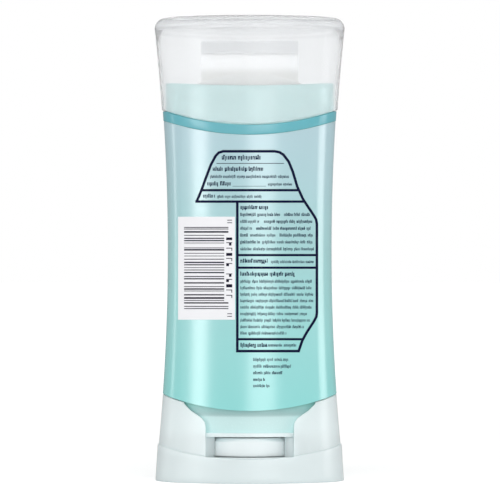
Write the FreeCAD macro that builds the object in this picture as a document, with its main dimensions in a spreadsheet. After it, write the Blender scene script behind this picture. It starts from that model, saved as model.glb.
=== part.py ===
"""A deodorant stick: an oval, waisted twist-up pack under a frosted over-cap.

The part stands on its base rim at Z = 0, with the printed panel towards -Y.
All sizes are millimetres. A turn of the dial drives the carrier up the bore.
"""
import FreeCAD
import Part
import math
import os
import Sketcher
from FreeCAD import Vector

SIZES = {
    # The waisted outline, the same for the barrel, the base and the over-cap
    "total_height": 146,
    "waist_height": 72.6,
    "waist_half_width": 25.75,
    "waist_half_depth": 14,
    "oval_step": 4,
    "flank_radius": 650,
    # The curved joint lines, low at the front and the back and high at the sides
    "joint_radius": 80,
    "cap_joint_height": 111.6,
    "ring_height": 3.1,
    "base_joint_height": 22.6,
    "joint_gap": 0.3,
    # The over-cap
    "cap_proud": 0.45,
    "cap_wall": 0.8,
    "cap_top_wall": 1.4,
    "cap_corner_radius": 2.5,
    # The barrel
    "neck_half_width": 26.5,
    "neck_half_depth": 14.45,
    "neck_start": 108.3,
    "mouth_radius": 165,
    "mouth_height": 122.2,
    "bore_half_width": 23.9,
    "bore_half_depth": 12.1,
    "rebate_step": 1.2,
    "rebate_height": 116,
    "skirt_half_width": 26.1,
    "skirt_half_depth": 14.4,
    "skirt_foot": 15.6,
    # The shoulder ring
    "ring_proud": 0.05,
    "ring_fit": 0.05,
    # The base
    "base_proud": 0.05,
    "skirt_fit": 0.1,
    "foot_half_width": 29.75,
    "ledge_radius": 109,
    "ledge_height": 7.6,
    "ledge_half_width": 29,
    "ledge_height_at_side": 12,
    "base_wall": 1.2,
    "wing_foot": 6,
    "hollow_spare": 1,
    "deck_thickness": 1.2,
    "window_half_width": 13.75,
    "window_sill": 8.1,
    "window_shoulder": 18.9,
    "window_flare_half_width": 20.5,
    "window_flare_height": 25.2,
    "web_thickness": 1,
    "web_foot": 4,
    "web_place": 6,
    "web_clearance": 1,
    "web_sink": 0.96,
    # The dial and its spindle
    "dial_radius": 16.3,
    "dial_foot": 8.4,
    "dial_gap": 0.4,
    "dial_bevel": 1.2,
    "journal_radius": 4.3,
    "journal_fit": 0.3,
    "snap_radius": 5,
    "snap_gap": 0.3,
    "snap_height": 0.9,
    "core_radius": 2.6,
    "thread_radius": 3.8,
    "carrier_travel": 78,
    "spindle_grip": 10.6,
    # The platform
    "carrier_fit": 0.35,
    "platform_foot": 17.6,
    "platform_height": 21.4,
    "platform_floor": 1.6,
    "platform_wall": 1,
    "hub_wall": 1.6,
    "thread_fit": 0.4,
    "rib_rise": 4,
    "rib_thickness": 1,
    "post_radius": 1.5,
    "post_height": 9,
    "post_place": 13,
    # The product
    "product_fit": 0.3,
    "crown_gap": 1.5,
    "spindle_hole_fit": 0.8,
    "spindle_end_gap": 1,
    # The inner seal
    "seal_fit": 0.3,
    "seal_wall": 0.9,
    "seal_crown": 127.8,
    "crown_radius": 43,
    "tab_root": 3.4,
    "tab_half_width": 15.3,
    "tab_top": 138.9,
    "tab_thickness": 1.2,
    "tab_bar_height": 4.4,
    "tab_bar_thickness": 2.8,
    # How far cuts start or end beyond the material, and joined solids reach into one another
    "cut_spare": 4,
    "overlap": 1,
}

document = FreeCAD.newDocument("deodorant_stick")
sheet = document.addObject("Spreadsheet::Sheet", "Sizes")
for row, (alias, size) in enumerate(SIZES.items(), start=1):
    sheet.set(f"A{row}", alias)
    sheet.set(f"B{row}", str(size))
    sheet.setAlias(f"B{row}", alias)
document.recompute()

# Longer than the part is deep
CUT_DEPTH = 60
# Wider than what stands beyond a curved cut
CUT_RING = 20
SHOULDER = "(Sizes.cap_joint_height - Sizes.ring_height)"
WIDTH_OVER_DEPTH = "(Sizes.waist_half_width - Sizes.waist_half_depth)"
SPINDLE_TOP = "(Sizes.platform_foot + Sizes.carrier_travel + Sizes.spindle_grip)"
FLOOR_TOP = "(Sizes.platform_foot + Sizes.platform_height)"
CROWN_CENTRE = "(Sizes.seal_crown - Sizes.crown_radius)"
# How far the middle of a quarter round lies in from its two ends, as a share of its radius
CORNER_SHARE = "(1 - sqrt(0.5))"
FRONT_PLANE = "XZ_Plane"
SIDE_PLANE = "YZ_Plane"
LEVEL_PLANE = "XY_Plane"


def cell(alias):
    """The expression that reads one size from the sheet."""
    return f"Sizes.{alias}"


def origin_plane(body, role):
    return next(plane for plane in body.Origin.OriginFeatures if plane.Role == role)


def new_body(name):
    body = document.addObject("PartDesign::Body", name)
    body.Label = name
    return body


def new_sketch(body, name, role, height="0"):
    """A sketch on one of the body's own planes, lifted to a height if it is level."""
    sketch = body.newObject("Sketcher::SketchObject", name)
    sketch.AttachmentSupport = (origin_plane(body, role), [""])
    sketch.MapMode = "FlatFace"
    if role == LEVEL_PLANE:
        sketch.setExpression("AttachmentOffset.Base.z", height)
    return sketch


def constrain(sketch, constraint, expression):
    """Adds one driving constraint and ties its value to an expression."""
    index = sketch.addConstraint(constraint)
    sketch.setExpression(f"Constraints[{index}]", expression)


def oval(body, name, half_width, half_depth, height):
    """A level oval of four tangent arcs about the part's axis.

    The two end arcs have a radius smaller than the half depth by the same step in every
    oval, so ovals that differ by one offset are parallel.
    """
    sketch = new_sketch(body, name, LEVEL_PLANE, height)
    # The arcs are drawn near their places and then solved
    end_place, end_size = 14.5, 11.2
    side_place, side_size = 24.5, 39.7
    turn = math.radians(59.4)
    upright = Vector(0, 0, 1)
    right = Part.Circle(Vector(end_place, 0, 0), upright, end_size)
    rear = Part.Circle(Vector(0, -side_place, 0), upright, side_size)
    left = Part.Circle(Vector(-end_place, 0, 0), upright, end_size)
    front = Part.Circle(Vector(0, side_place, 0), upright, side_size)
    sketch.addGeometry(Part.ArcOfCircle(right, -turn, turn))
    sketch.addGeometry(Part.ArcOfCircle(rear, turn, math.pi - turn))
    sketch.addGeometry(Part.ArcOfCircle(left, math.pi - turn, math.pi + turn))
    sketch.addGeometry(Part.ArcOfCircle(front, math.pi + turn, 2 * math.pi - turn))
    for index in range(4):
        joined = Sketcher.Constraint("Tangent", index, 2, (index + 1) % 4, 1)
        sketch.addConstraint(joined)
    end_radius = f"(({half_depth}) - Sizes.oval_step)"
    end_centre = f"(({half_width}) - {end_radius})"
    squares = f"({end_centre} ^ 2 + ({half_depth}) ^ 2 - {end_radius} ^ 2)"
    side_radius = f"{squares} / (2 * Sizes.oval_step)"
    for index in (0, 2):
        sketch.addConstraint(Sketcher.Constraint("PointOnObject", index, 3, -1))
    constrain(sketch, Sketcher.Constraint("DistanceX", -1, 1, 0, 3, end_place), end_centre)
    constrain(sketch, Sketcher.Constraint("DistanceX", 2, 3, -1, 1, end_place), end_centre)
    for index in range(4):
        at_end = index % 2 == 0
        size = end_size if at_end else side_size
        radius = end_radius if at_end else side_radius
        constrain(sketch, Sketcher.Constraint("Radius", index, size), radius)
    return sketch


def circles(body, name, role, centre_height, radii, level="0"):
    """Concentric circles: about the part's axis, or seen from the front at a height."""
    sketch = new_sketch(body, name, role, level)
    drawn_height = 40
    for index, radius in enumerate(radii):
        drawn_radius = 10 + index
        centre = Vector(0, drawn_height, 0)
        sketch.addGeometry(Part.Circle(centre, Vector(0, 0, 1), drawn_radius))
        sketch.addConstraint(Sketcher.Constraint("PointOnObject", index, 3, -2))
        height = Sketcher.Constraint("DistanceY", -1, 1, index, 3, drawn_height)
        constrain(sketch, height, centre_height)
        constrain(sketch, Sketcher.Constraint("Radius", index, drawn_radius), radius)
    return sketch


def polygon(body, name, role, corners, level="0"):
    """A closed outline through corners given as pairs of expressions.

    A corner on the negative side is written with a leading minus sign.
    """
    sketch = new_sketch(body, name, role, level)
    count = len(corners)
    for index in range(count):
        start = Vector(index, index * index, 0)
        following = (index + 1) % count
        end = Vector(following, following * following, 0)
        sketch.addGeometry(Part.LineSegment(start, end))
    for index in range(count):
        joined = Sketcher.Constraint("Coincident", index, 2, (index + 1) % count, 1)
        sketch.addConstraint(joined)
    for index, corner in enumerate(corners):
        place_point(sketch, index, 1, *corner)
    return sketch


def level_box(body, name, near, far, place, width, height):
    """A level rectangle from near to far along X, about a place along Y."""
    half = f"({width}) / 2"
    if place == "0":
        low, high = f"-({half})", half
    elif place.startswith("-"):
        low, high = f"-({place[1:]} + {half})", f"-({place[1:]} - {half})"
    else:
        low, high = f"{place} - {half}", f"{place} + {half}"
    corners = [(near, low), (far, low), (far, high), (near, high)]
    return polygon(body, name, LEVEL_PLANE, corners, height)


def centred_box(body, name, half_width, thickness, height):
    """A level rectangle about the part's axis."""
    half = f"({thickness}) / 2"
    corners = [
        (f"-({half_width})", f"-({half})"),
        (half_width, f"-({half})"),
        (half_width, half),
        (f"-({half_width})", half),
    ]
    return polygon(body, name, LEVEL_PLANE, corners, height)


def skin(offset, height):
    """Half width and half depth of the waisted outline at a height, moved out by offset."""
    rise = f"({height} - Sizes.waist_height)"
    flare = f"Sizes.flank_radius - sqrt(Sizes.flank_radius ^ 2 - {rise} ^ 2)"
    return (
        f"(Sizes.waist_half_width + {flare} + {offset})",
        f"(Sizes.waist_half_depth + {flare} + {offset})",
    )


END_CENTRE = "(Sizes.waist_half_width - Sizes.waist_half_depth + Sizes.oval_step)"
SIDE_CENTRE = f"({END_CENTRE} ^ 2 / (2 * Sizes.oval_step) - Sizes.oval_step / 2)"
END_TURN = f"atan({SIDE_CENTRE} / {END_CENTRE})"


def place_point(sketch, geometry, point, along_x, along_y):
    """Ties one point of a sketch to a place given by two expressions.

    Each distance starts from where the point was drawn, so that solving moves it little.
    """
    drawn = sketch.getPoint(geometry, point)
    for kind, axis, expression, place in (
        ("DistanceX", -2, along_x, abs(drawn.x) or 1),
        ("DistanceY", -1, along_y, abs(drawn.y) or 1),
    ):
        if expression is None:
            continue
        if expression == "0":
            sketch.addConstraint(Sketcher.Constraint("PointOnObject", geometry, point, axis))
            continue
        ends = (-1, 1, geometry, point)
        if expression.startswith("-"):
            ends = (geometry, point, -1, 1)
        distance = Sketcher.Constraint(kind, *ends, place)
        constrain(sketch, distance, expression.removeprefix("-"))


def flank_rise(height):
    """How far the flank stands outside the waist at a height, to draw a sketch near it."""
    radius = SIZES["flank_radius"]
    return radius - math.sqrt(radius**2 - (height - SIZES["waist_height"]) ** 2)


def flank_profile(body, name, role, near, reach, axis, low, high):
    """The upright region from near out to the flank, with the axis that it turns about.

    reach is the flank's distance at the waist, or a pair of distances, low and high,
    between which the flank is straight. The axis is drawn and solved first, and the
    rest is drawn at its heights.
    """
    sketch = new_sketch(body, name, role)
    drawn_foot, drawn_head = Vector(15, 20, 0), Vector(15, 118, 0)
    sketch.addGeometry(Part.LineSegment(drawn_foot, drawn_head), True)
    sketch.addConstraint(Sketcher.Constraint("Vertical", 0))
    place_point(sketch, 0, 1, axis, low)
    place_point(sketch, 0, 2, None, high)
    document.recompute()
    foot, head = sketch.Geometry[0].StartPoint, sketch.Geometry[0].EndPoint
    outer = SIZES["waist_half_width"] if foot.x > 0 else SIZES["waist_half_depth"]
    inner = max(foot.x, 0)
    corners = [
        Vector(x, point.y, 0)
        for point in (foot, head)
        for x in (inner, outer + flank_rise(point.y))
    ]
    sketch.addGeometry(Part.LineSegment(corners[0], corners[1]))
    straight = isinstance(reach, tuple)
    radius, middle = SIZES["flank_radius"], SIZES["waist_height"]
    if straight:
        sketch.addGeometry(Part.LineSegment(corners[3], corners[1]))
    else:
        ring = Part.Circle(Vector(outer + radius, middle, 0), Vector(0, 0, 1), radius)
        start = math.pi - math.asin((head.y - middle) / radius)
        end = math.pi - math.asin((foot.y - middle) / radius)
        sketch.addGeometry(Part.ArcOfCircle(ring, start, end))
    sketch.addGeometry(Part.LineSegment(corners[3], corners[2]))
    sketch.addGeometry(Part.LineSegment(corners[2], corners[0]))
    meeting = (((1, 2), (2, 2)), ((2, 1), (3, 1)), ((3, 2), (4, 1)), ((4, 2), (1, 1)))
    for first, second in meeting:
        sketch.addConstraint(Sketcher.Constraint("Coincident", *first, *second))
    for kind, index in (("Horizontal", 1), ("Horizontal", 3), ("Vertical", 4)):
        sketch.addConstraint(Sketcher.Constraint(kind, index))
    place_point(sketch, 1, 1, near, low)
    place_point(sketch, 3, 2, None, high)
    if straight:
        place_point(sketch, 1, 2, reach[0], None)
        place_point(sketch, 3, 1, reach[1], None)
    else:
        place_point(sketch, 2, 3, f"{reach} + Sizes.flank_radius", cell("waist_height"))
        constrain(sketch, Sketcher.Constraint("Radius", 2, radius), cell("flank_radius"))
    return sketch


def sectors(body, name, widths, depths, low, high, cut=False):
    """A solid, or a cut, whose level sections are parallel ovals.

    Each section's four arcs keep their centres, so the two ends and the two sides are
    turned about four upright axes.
    """
    kind = "PartDesign::Groove" if cut else "PartDesign::Revolution"
    end_line = flank_profile(
        body, f"{name}_end_line", FRONT_PLANE, END_CENTRE, widths, END_CENTRE, low, high
    )
    side_line = flank_profile(
        body, f"{name}_side_line", SIDE_PLANE, "0", depths, f"-{SIDE_CENTRE}", low, high
    )
    for part_name, line, turn, plane in (
        ("side", side_line, f"180 deg - 2 * {END_TURN}", FRONT_PLANE),
        ("end", end_line, f"2 * {END_TURN}", SIDE_PLANE),
    ):
        turned = body.newObject(kind, f"{name}_{part_name}")
        turned.Profile = line
        turned.ReferenceAxis = (line, ["Axis0"])
        turned.Midplane = True
        turned.setExpression("Angle", turn)
        document.recompute()
        far = body.newObject("PartDesign::Mirrored", f"{name}_far_{part_name}")
        far.Originals = [turned]
        far.MirrorPlane = (origin_plane(body, plane), [""])
        body.Tip = far
    return far


def waisted(body, name, offset, low, high, cut=False):
    """The waisted outline, moved out by an offset, between two heights."""
    width = f"(Sizes.waist_half_width + {offset})"
    depth = f"(Sizes.waist_half_depth + {offset})"
    return sectors(body, name, width, depth, low, high, cut)


def pad(body, name, sketch, length):
    """Raises a level sketch by a length."""
    feature = body.newObject("PartDesign::Pad", name)
    feature.Profile = sketch
    feature.setExpression("Length", length)
    return feature


def pocket_up(body, name, sketch, length):
    """Cuts upward from a level sketch."""
    feature = body.newObject("PartDesign::Pocket", name)
    feature.Profile = sketch
    feature.Reversed = True
    feature.setExpression("Length", length)
    return feature


def pocket_through(body, name, sketch):
    """Cuts a front sketch right through, both ways."""
    feature = body.newObject("PartDesign::Pocket", name)
    feature.Profile = sketch
    feature.SideType = "Symmetric"
    feature.Length = CUT_DEPTH
    return feature


def cut_above(body, name, lowest, radius):
    """Cuts away what lies above a curved joint line."""
    centre = f"{lowest} + {radius}"
    line = circles(body, f"{name}_line", FRONT_PLANE, centre, [radius])
    return pocket_through(body, name, line)


def cut_below(body, name, lowest, radius):
    """Cuts away what lies below a curved joint line."""
    return cut_ring(body, name, f"{lowest} + {radius}", radius)


def cut_ring(body, name, centre, radius):
    """Cuts a ring about a centre on the axis, seen from the front.

    What lies below a joint line goes so, and what lies above a crown.
    """
    radii = [radius, f"{radius} + {CUT_RING}"]
    line = circles(body, f"{name}_line", FRONT_PLANE, centre, radii)
    return pocket_through(body, name, line)


def bevel(body, name, base, edges, size):
    """Breaks some edges of a feature with an even slope."""
    bevelled = body.newObject("PartDesign::Chamfer", name)
    bevelled.Base = (base, edges)
    bevelled.setExpression("Size", size)
    return bevelled


def top_edges(feature):
    """Names of the edges round the highest face of a feature."""
    document.recompute()
    shape = feature.Shape
    face = max(shape.Faces, key=lambda candidate: candidate.BoundBox.ZMin)
    return edges_of(shape, face)


def edges_of(shape, face):
    """Names of a face's edges."""
    rims = face.Edges
    names = []
    for number, edge in enumerate(shape.Edges, start=1):
        if any(edge.isSame(rim) for rim in rims):
            names.append(f"Edge{number}")
    return names


def tapered(body, name, offset, low, high, cut=False):
    """The outline between two heights with straight flanks, for a short or hidden stretch."""
    low_width, low_depth = skin(offset, low)
    high_width, high_depth = skin(offset, high)
    return sectors(body, name, (low_width, high_width), (low_depth, high_depth), low, high, cut)


def rounded_top(body, name, offset, top, radius, cut=False):
    """Closes the waisted outline with a corner of two slopes, which follow a quarter round."""
    low = f"({top} - {radius})"
    half_width, half_depth = skin(offset, low)
    drawn_in = f"{CORNER_SHARE} * {radius}"
    middle = f"({top} - {drawn_in})"
    widths = (half_width, f"({half_width} - {drawn_in})", f"({half_width} - {radius})")
    depths = (half_depth, f"({half_depth} - {drawn_in})", f"({half_depth} - {radius})")
    sectors(body, f"{name}_low", widths[:2], depths[:2], low, middle, cut)
    sectors(body, f"{name}_high", widths[1:], depths[1:], middle, top, cut)


def make_over_cap():
    """The frosted over-cap: a thin waisted shell that ends in a curved joint line."""
    body = new_body("over_cap")
    corner = cell("cap_corner_radius")
    below_rim = "(Sizes.cap_joint_height - Sizes.cut_spare)"
    corner_foot = f"(Sizes.total_height - {corner})"
    waisted(body, "cap_outside", cell("cap_proud"), below_rim, corner_foot)
    rounded_top(body, "cap_top", cell("cap_proud"), cell("total_height"), corner)
    cut_below(body, "cap_rim", "Sizes.cap_joint_height + Sizes.joint_gap", cell("joint_radius"))
    inset = "Sizes.cap_proud - Sizes.cap_wall"
    ceiling = "(Sizes.total_height - Sizes.cap_top_wall)"
    inner_corner = "(Sizes.cap_corner_radius - Sizes.cap_wall)"
    tapered(body, "cap_inside", inset, below_rim, f"({ceiling} - {inner_corner})", cut=True)
    rounded_top(body, "cap_ceiling", inset, ceiling, inner_corner, cut=True)
    return body


def make_shoulder_ring():
    """The glossy ring between the over-cap and the label, threaded over the neck."""
    body = new_body("shoulder_ring")
    low = f"({SHOULDER} - Sizes.cut_spare)"
    high = "(Sizes.cap_joint_height + 2 * Sizes.cut_spare)"
    tapered(body, "ring_outside", cell("ring_proud"), low, high)
    cut_above(body, "ring_top", cell("cap_joint_height"), cell("joint_radius"))
    cut_below(body, "ring_foot", SHOULDER, cell("joint_radius"))
    hole = oval(
        body,
        "ring_hole_line",
        "Sizes.neck_half_width + Sizes.ring_fit",
        "Sizes.neck_half_depth + Sizes.ring_fit",
        low,
    )
    pocket_up(body, "ring_hole", hole, f"{high} - {low}")
    return body


def make_barrel():
    """The waisted barrel with its straight oval bore, its neck and its lower skirt."""
    body = new_body("barrel")
    low = "(Sizes.base_joint_height - Sizes.cut_spare)"
    high = f"({SHOULDER} + 2 * Sizes.cut_spare)"
    waisted(body, "barrel_outside", "0", low, high)
    cut_above(body, "shoulder", SHOULDER, cell("joint_radius"))
    cut_below(body, "lower_rim", cell("base_joint_height"), cell("joint_radius"))
    neck = oval(
        body,
        "neck_line",
        cell("neck_half_width"),
        cell("neck_half_depth"),
        cell("neck_start"),
    )
    above_mouth = "Sizes.mouth_height + Sizes.cut_spare"
    pad(body, "neck", neck, f"{above_mouth} - Sizes.neck_start")
    skirt_line = oval(
        body,
        "skirt_line",
        cell("skirt_half_width"),
        cell("skirt_half_depth"),
        cell("skirt_foot"),
    )
    skirt_top = "Sizes.base_joint_height + 2 * Sizes.cut_spare"
    pad(body, "skirt", skirt_line, f"{skirt_top} - Sizes.skirt_foot")
    cut_above(body, "mouth", cell("mouth_height"), cell("mouth_radius"))
    bore_line = oval(
        body,
        "bore_line",
        cell("bore_half_width"),
        cell("bore_half_depth"),
        "(Sizes.skirt_foot - Sizes.cut_spare)",
    )
    pocket_up(body, "bore", bore_line, cell("total_height"))
    rebate_line = oval(
        body,
        "rebate_line",
        "Sizes.bore_half_width + Sizes.rebate_step",
        "Sizes.bore_half_depth + Sizes.rebate_step",
        cell("rebate_height"),
    )
    pocket_up(body, "rebate", rebate_line, f"{above_mouth} - Sizes.rebate_height")
    return body


def make_base():
    """The frosted base: a flared foot, two side wings and the deck that the dial hangs from."""
    foot_depth = f"({cell('foot_half_width')} - {WIDTH_OVER_DEPTH})"
    ledge_depth = f"({cell('ledge_half_width')} - {WIDTH_OVER_DEPTH})"
    widths = (cell("foot_half_width"), cell("ledge_half_width"))
    depths = (foot_depth, ledge_depth)
    foot = new_body("base_foot")
    sectors(foot, "foot", widths, depths, "0", cell("ledge_height_at_side"))
    cut_above(foot, "ledge", cell("ledge_height"), cell("ledge_radius"))
    wings = new_body("base_wings")
    above_rim = "(Sizes.base_joint_height + 2 * Sizes.cut_spare)"
    tapered(wings, "wings", cell("base_proud"), cell("wing_foot"), above_rim)
    cut_above(wings, "base_rim", cell("base_joint_height"), cell("joint_radius"))
    union = document.addObject("Part::Fuse", "base_outside")
    union.Base = foot
    union.Tool = wings
    document.recompute()
    body = new_body("base")
    body.BaseFeature = union
    deck_foot = "(Sizes.skirt_foot - Sizes.deck_thickness)"
    half_width, half_depth = skin("Sizes.base_proud - Sizes.base_wall", deck_foot)
    widths = (f"{cell('foot_half_width')} - Sizes.base_wall", half_width)
    depths = (f"{foot_depth} - Sizes.base_wall", half_depth)
    sectors(body, "hollow", widths, depths, "-Sizes.hollow_spare", deck_foot, cut=True)
    window = polygon(
        body,
        "window_line",
        FRONT_PLANE,
        [
            ("-Sizes.window_half_width", cell("window_sill")),
            (cell("window_half_width"), cell("window_sill")),
            (cell("window_half_width"), cell("window_shoulder")),
            (cell("window_flare_half_width"), cell("window_flare_height")),
            (cell("window_flare_half_width"), above_rim),
            ("-Sizes.window_flare_half_width", above_rim),
            ("-Sizes.window_flare_half_width", cell("window_flare_height")),
            ("-Sizes.window_half_width", cell("window_shoulder")),
        ],
    )
    pocket_through(body, "window", window)
    deck_line = oval(body, "deck_line", half_width, half_depth, deck_foot)
    pad(body, "deck", deck_line, cell("deck_thickness"))
    socket_line = oval(
        body,
        "socket_line",
        "Sizes.skirt_half_width + Sizes.skirt_fit",
        "Sizes.skirt_half_depth + Sizes.skirt_fit",
        cell("skirt_foot"),
    )
    pocket_up(body, "socket", socket_line, f"{above_rim} - Sizes.skirt_foot")
    hole_radius = "Sizes.journal_radius + Sizes.journal_fit"
    hole_foot = f"({deck_foot} - Sizes.cut_spare)"
    hole = circles(body, "journal_line", LEVEL_PLANE, "0", [hole_radius], hole_foot)
    pocket_up(body, "journal_hole", hole, "Sizes.deck_thickness + 2 * Sizes.cut_spare")
    end_radius = f"({half_depth} - Sizes.oval_step)"
    web_start = "Sizes.dial_radius + Sizes.web_clearance"
    web_places = {"web": "0", "front_web": "-Sizes.web_place", "rear_web": "Sizes.web_place"}
    webs = []
    for name, place in web_places.items():
        wall = f"{half_width} - {end_radius} + sqrt({end_radius} ^ 2 - ({place}) ^ 2)"
        reach = f"{wall} + Sizes.web_sink"
        thickness, foot_level = cell("web_thickness"), cell("web_foot")
        outline = level_box(
            body, f"{name}_line", web_start, reach, place, thickness, foot_level
        )
        webs.append(pad(body, f"{name}_pad", outline, f"{deck_foot} - Sizes.web_foot"))
    document.recompute()
    mirror = body.newObject("PartDesign::Mirrored", "far_webs")
    mirror.Originals = webs
    mirror.MirrorPlane = (origin_plane(body, "YZ_Plane"), [""])
    body.Tip = mirror
    return body


def disc(body, name, radius, low, high):
    """A round solid about the part's axis between two heights."""
    line = circles(body, f"{name}_line", LEVEL_PLANE, "0", [radius], low)
    return pad(body, name, line, f"{high} - {low}")


def make_dial():
    """The hand wheel under the deck, in one piece with its journal and its spindle's core."""
    body = new_body("dial")
    dial_top = "(Sizes.skirt_foot - Sizes.deck_thickness - Sizes.dial_gap)"
    snap_foot = "(Sizes.skirt_foot + Sizes.snap_gap)"
    wheel = disc(body, "wheel", cell("dial_radius"), cell("dial_foot"), dial_top)
    bevel(body, "wheel_bevel", wheel, top_edges(wheel), cell("dial_bevel"))
    snap_top = f"({snap_foot} + Sizes.snap_height)"
    journal_foot = f"({dial_top} - Sizes.overlap)"
    disc(body, "journal", cell("journal_radius"), journal_foot, snap_top)
    disc(body, "snap", cell("snap_radius"), snap_foot, snap_top)
    disc(body, "core", cell("core_radius"), dial_top, SPINDLE_TOP)
    return body


def make_platform():
    """The piston that carries the product, with its hub, its rib and its two posts."""
    body = new_body("platform")
    half_width = "(Sizes.bore_half_width - Sizes.carrier_fit)"
    half_depth = "(Sizes.bore_half_depth - Sizes.carrier_fit)"
    foot = cell("platform_foot")
    outside = oval(body, "piston_line", half_width, half_depth, foot)
    pad(body, "piston", outside, cell("platform_height"))
    inner_width = f"{half_width} - Sizes.platform_wall"
    inner_depth = f"{half_depth} - Sizes.platform_wall"
    inside = oval(body, "piston_inside", inner_width, inner_depth, foot)
    pocket_up(body, "piston_hollow", inside, "Sizes.platform_height - Sizes.platform_floor")
    disc(body, "hub", "Sizes.journal_radius + Sizes.hub_wall", foot, FLOOR_TOP)
    rib_end = f"{half_width} - Sizes.platform_wall / 2"
    rib_foot = f"{foot} + Sizes.rib_rise"
    rib = centred_box(body, "rib_line", rib_end, cell("rib_thickness"), rib_foot)
    pad(body, "rib", rib, "Sizes.platform_height - Sizes.rib_rise")
    bore_radius = "Sizes.thread_radius + Sizes.thread_fit"
    bore_foot = f"({foot} - Sizes.cut_spare)"
    bore = circles(body, "hub_bore_line", LEVEL_PLANE, "0", [bore_radius], bore_foot)
    pocket_up(body, "hub_bore", bore, "Sizes.platform_height + 2 * Sizes.cut_spare")
    post_foot = f"{FLOOR_TOP} - Sizes.overlap"
    for name, side in (("post", ""), ("far_post", "-")):
        circle = post_circle(body, f"{name}_line", side, cell("post_radius"), post_foot)
        pad(body, name, circle, "Sizes.post_height + Sizes.overlap")
    return body


def make_deodorant_stick():
    """The solid product: an oval prism with a rounded crown and a hole for the spindle."""
    body = new_body("deodorant_stick")
    half_width = "Sizes.bore_half_width - Sizes.product_fit"
    half_depth = "Sizes.bore_half_depth - Sizes.product_fit"
    outline = oval(body, "stick_line", half_width, half_depth, FLOOR_TOP)
    pad(body, "stick", outline, f"Sizes.seal_crown - {FLOOR_TOP}")
    crown_radius = "(Sizes.crown_radius - Sizes.seal_wall - Sizes.crown_gap)"
    cut_ring(body, "crown", CROWN_CENTRE, crown_radius)
    hole_radius = "Sizes.thread_radius + Sizes.spindle_hole_fit"
    hole = circles(body, "spindle_hole_line", LEVEL_PLANE, "0", [hole_radius], FLOOR_TOP)
    hole_top = f"{SPINDLE_TOP} + Sizes.spindle_end_gap"
    pocket_up(body, "spindle_hole", hole, f"{hole_top} - {FLOOR_TOP}")
    for name, side in (("post_hole", ""), ("far_post_hole", "-")):
        circle = post_circle(body, f"{name}_line", side, cell("post_radius"), FLOOR_TOP)
        pocket_up(body, name, circle, cell("post_height"))
    return body


def post_circle(body, name, side, radius, height):
    """A level circle on the width axis where a post stands, on one side."""
    sketch = new_sketch(body, name, LEVEL_PLANE, height)
    drawn_place, drawn_radius = 10, 1
    centre = Vector(drawn_place, 0, 0)
    sketch.addGeometry(Part.Circle(centre, Vector(0, 0, 1), drawn_radius))
    sketch.addConstraint(Sketcher.Constraint("PointOnObject", 0, 3, -1))
    ends = (0, 3, -1, 1) if side else (-1, 1, 0, 3)
    distance = Sketcher.Constraint("DistanceX", *ends, drawn_place)
    constrain(sketch, distance, cell("post_place"))
    constrain(sketch, Sketcher.Constraint("Radius", 0, drawn_radius), radius)
    return sketch


def seal_dome(name, drawn_in):
    """The seal's domed oval, drawn in by an amount: once for its outside, once for its inside."""
    body = new_body(name)
    inset = f"Sizes.rebate_step - Sizes.seal_fit - {drawn_in}"
    half_width = f"Sizes.bore_half_width + {inset}"
    half_depth = f"Sizes.bore_half_depth + {inset}"
    foot = f"Sizes.rebate_height - {drawn_in}"
    outline = oval(body, f"{name}_line", half_width, half_depth, foot)
    pad(body, f"{name}_plug", outline, f"Sizes.seal_crown + Sizes.overlap - ({foot})")
    crown_radius = f"(Sizes.crown_radius - {drawn_in})"
    cut_ring(body, f"{name}_crown", CROWN_CENTRE, crown_radius)
    return body


def make_inner_seal():
    """The domed factory seal plugged into the mouth, with its upright pull tab."""
    outside = seal_dome("seal_outside", "0")
    foot = "Sizes.seal_crown - Sizes.tab_root"
    plate = centred_box(outside, "tab_line", cell("tab_half_width"), cell("tab_thickness"), foot)
    pad(outside, "tab", plate, f"Sizes.tab_top - ({foot})")
    bar_foot = "Sizes.tab_top - Sizes.tab_bar_height"
    bar = centred_box(outside, "bar_line", cell("tab_half_width"), cell("tab_bar_thickness"), bar_foot)
    pad(outside, "bar", bar, cell("tab_bar_height"))
    inside = seal_dome("seal_inside", "Sizes.seal_wall")
    seal = document.addObject("Part::Cut", "inner_seal")
    seal.Label = "inner_seal"
    seal.Base = outside
    seal.Tool = inside
    return seal


parts = [make_over_cap(), make_shoulder_ring(), make_barrel(), make_base()]
parts += [make_dial(), make_platform(), make_deodorant_stick(), make_inner_seal()]
document.recompute()
for item in document.Objects:
    if "Invalid" in item.State or "Error" in item.State:
        raise RuntimeError(f"{item.Label} did not build: {item.State}")
for part in parts:
    if part.Shape.isNull() or not part.Shape.isValid() or len(part.Shape.Solids) != 1:
        raise RuntimeError(f"{part.Label} is not one valid solid")
os.makedirs("parts", exist_ok=True)
for part in parts:
    part.Shape.exportStep(f"parts/{part.Label}.step")
    print(part.Label, round(part.Shape.Volume / 1000, 3), "cm3")
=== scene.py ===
"""Looks of a waisted, oval deodorant stick, dressed on its CAD frame.

Lengths are millimetres in the code and metres in Blender. Pixels are those of the
500 x 500 photograph.
"""

import math
import random

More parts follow.
